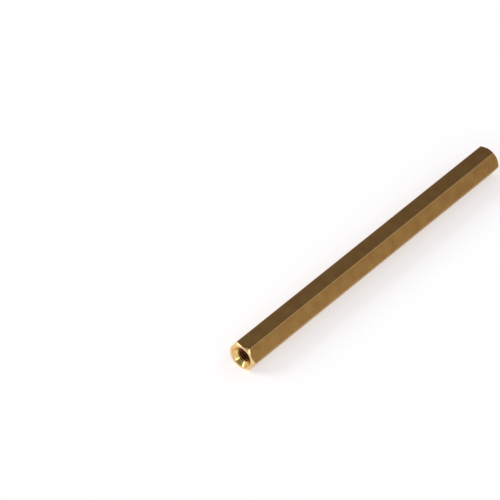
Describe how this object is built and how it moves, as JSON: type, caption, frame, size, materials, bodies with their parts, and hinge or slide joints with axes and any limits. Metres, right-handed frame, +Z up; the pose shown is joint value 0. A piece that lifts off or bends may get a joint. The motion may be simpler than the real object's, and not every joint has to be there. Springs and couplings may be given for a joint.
{
  "type": "hex standoff",
  "caption": "Long hexagonal brass standoff with a countersunk, threaded blind hole in each end and turned-off corners.",
  "frame": {"origin": "middle of the flat on which the bar lies", "axes": "+X along the bar, +Z up out of the flat on which it lies, +Y across the corners"},
  "size_m": [0.07, 0.0058, 0.005],
  "materials": {
    "brass": "drawn and tarnished on the flats, freshly turned and bright at the ends"
  },
  "bodies": {
    "root": {"hex_standoff": "brass"}
  },
  "joints": []
}
